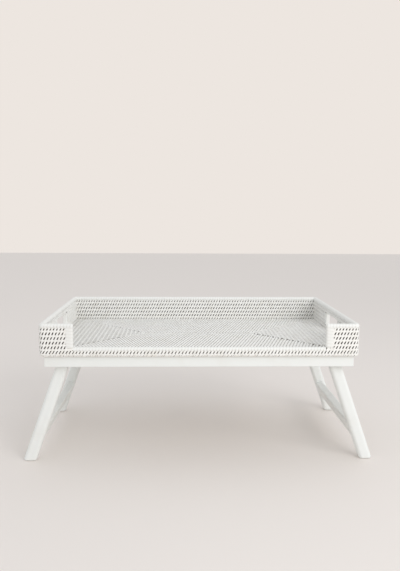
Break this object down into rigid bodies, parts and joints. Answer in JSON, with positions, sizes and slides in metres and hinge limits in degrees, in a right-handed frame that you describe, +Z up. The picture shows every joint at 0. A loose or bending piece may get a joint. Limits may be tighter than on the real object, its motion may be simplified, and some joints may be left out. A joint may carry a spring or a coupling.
{
  "type": "breakfast tray",
  "caption": "Oblong woven tray with a low front and hand holes in its ends, on a wooden frame with splayed legs that fold flat beneath it.",
  "frame": {"origin": "middle of the tray's length and depth, on the surface that the feet stand on", "axes": "+X to the right along the tray's length, +Y to the back, away from the low front, +Z up"},
  "size_m": [0.6906, 0.372, 0.2793],
  "materials": {
    "woven_rattan": "white-painted rattan peel bound over rods, satin",
    "rattan_wrap": "white-painted rattan peel wrapped close round a rod, smooth satin",
    "painted_wood": "white paint on planed wood, satin",
    "dowel_wood": "plain turned beech",
    "zinc_steel": "bright zinc plating"
  },
  "bodies": {
    "tray": {"tray_floor": "woven_rattan", "back_wall": "woven_rattan", "left_wall": "woven_rattan", "right_wall": "woven_rattan", "front_left_wall": "woven_rattan", "front_right_wall": "woven_rattan", "back_rim": "rattan_wrap", "left_rim": "rattan_wrap", "right_rim": "rattan_wrap", "front_left_rim": "rattan_wrap", "front_right_rim": "rattan_wrap", "front_low_rim": "rattan_wrap", "front_left_post": "rattan_wrap", "front_right_post": "rattan_wrap", "left_hand_hole_front_binding": "rattan_wrap", "left_hand_hole_back_binding": "rattan_wrap", "right_hand_hole_front_binding": "rattan_wrap", "right_hand_hole_back_binding": "rattan_wrap", "front_rail": "painted_wood", "back_rail": "painted_wood", "left_rail": "painted_wood", "right_rail": "painted_wood", "corner_dowels": "dowel_wood", "pivot_bolts": "zinc_steel", "spacer_washers": "zinc_steel", "head_washers": "zinc_steel", "tray_screws": "zinc_steel"},
    "left_leg_frame": {"left_front_leg": "painted_wood", "left_back_leg": "painted_wood", "left_crossbar": "painted_wood"},
    "right_leg_frame": {"right_front_leg": "painted_wood", "right_back_leg": "painted_wood", "right_crossbar": "painted_wood"}
  },
  "joints": [
    {"name": "left_leg_fold", "type": "hinge", "parent": "tray", "child": "left_leg_frame", "pos_m": [-0.26197, 0, 0.203], "axis": [0, -1, 0], "range_deg": [0, 109.6]},
    {"name": "right_leg_fold", "type": "hinge", "parent": "tray", "child": "right_leg_frame", "pos_m": [0.26197, 0, 0.203], "axis": [0, 1, 0], "range_deg": [0, 109.6]}
  ]
}
